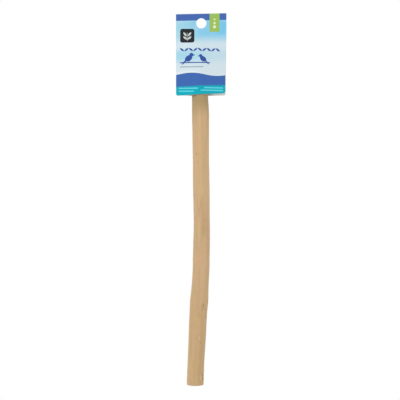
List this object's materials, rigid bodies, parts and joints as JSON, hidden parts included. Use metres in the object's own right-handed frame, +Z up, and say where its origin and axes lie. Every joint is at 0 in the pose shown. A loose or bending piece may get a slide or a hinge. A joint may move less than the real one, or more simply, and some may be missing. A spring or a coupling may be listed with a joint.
{
  "type": "bird perch",
  "caption": "Natural branch perch with a wire slot across each sawn end, stapled and glued into a folded hang card with a round peg hole.",
  "frame": {"origin": "centre of the card's hang hole, midway between its two layers", "axes": "+Z up along the hanging perch, +X to the right as the printed front is seen, -Y out of the printed front"},
  "size_m": [0.0504, 0.0193, 0.3714],
  "materials": {
    "wood": "peeled and sanded natural branch, bare, fine long grain",
    "card": "coated paperboard with a satin sheen, printed in plain fields of blue, sky blue and teal",
    "staple_wire": "flat galvanised staple wire",
    "hot_glue": "pressed hot-melt glue, milky"
  },
  "bodies": {
    "root": {"perch_wood": "wood", "header_card": "card", "staple_upper": "staple_wire", "staple_lower": "staple_wire", "glue_bead": "hot_glue"}
  },
  "joints": []
}
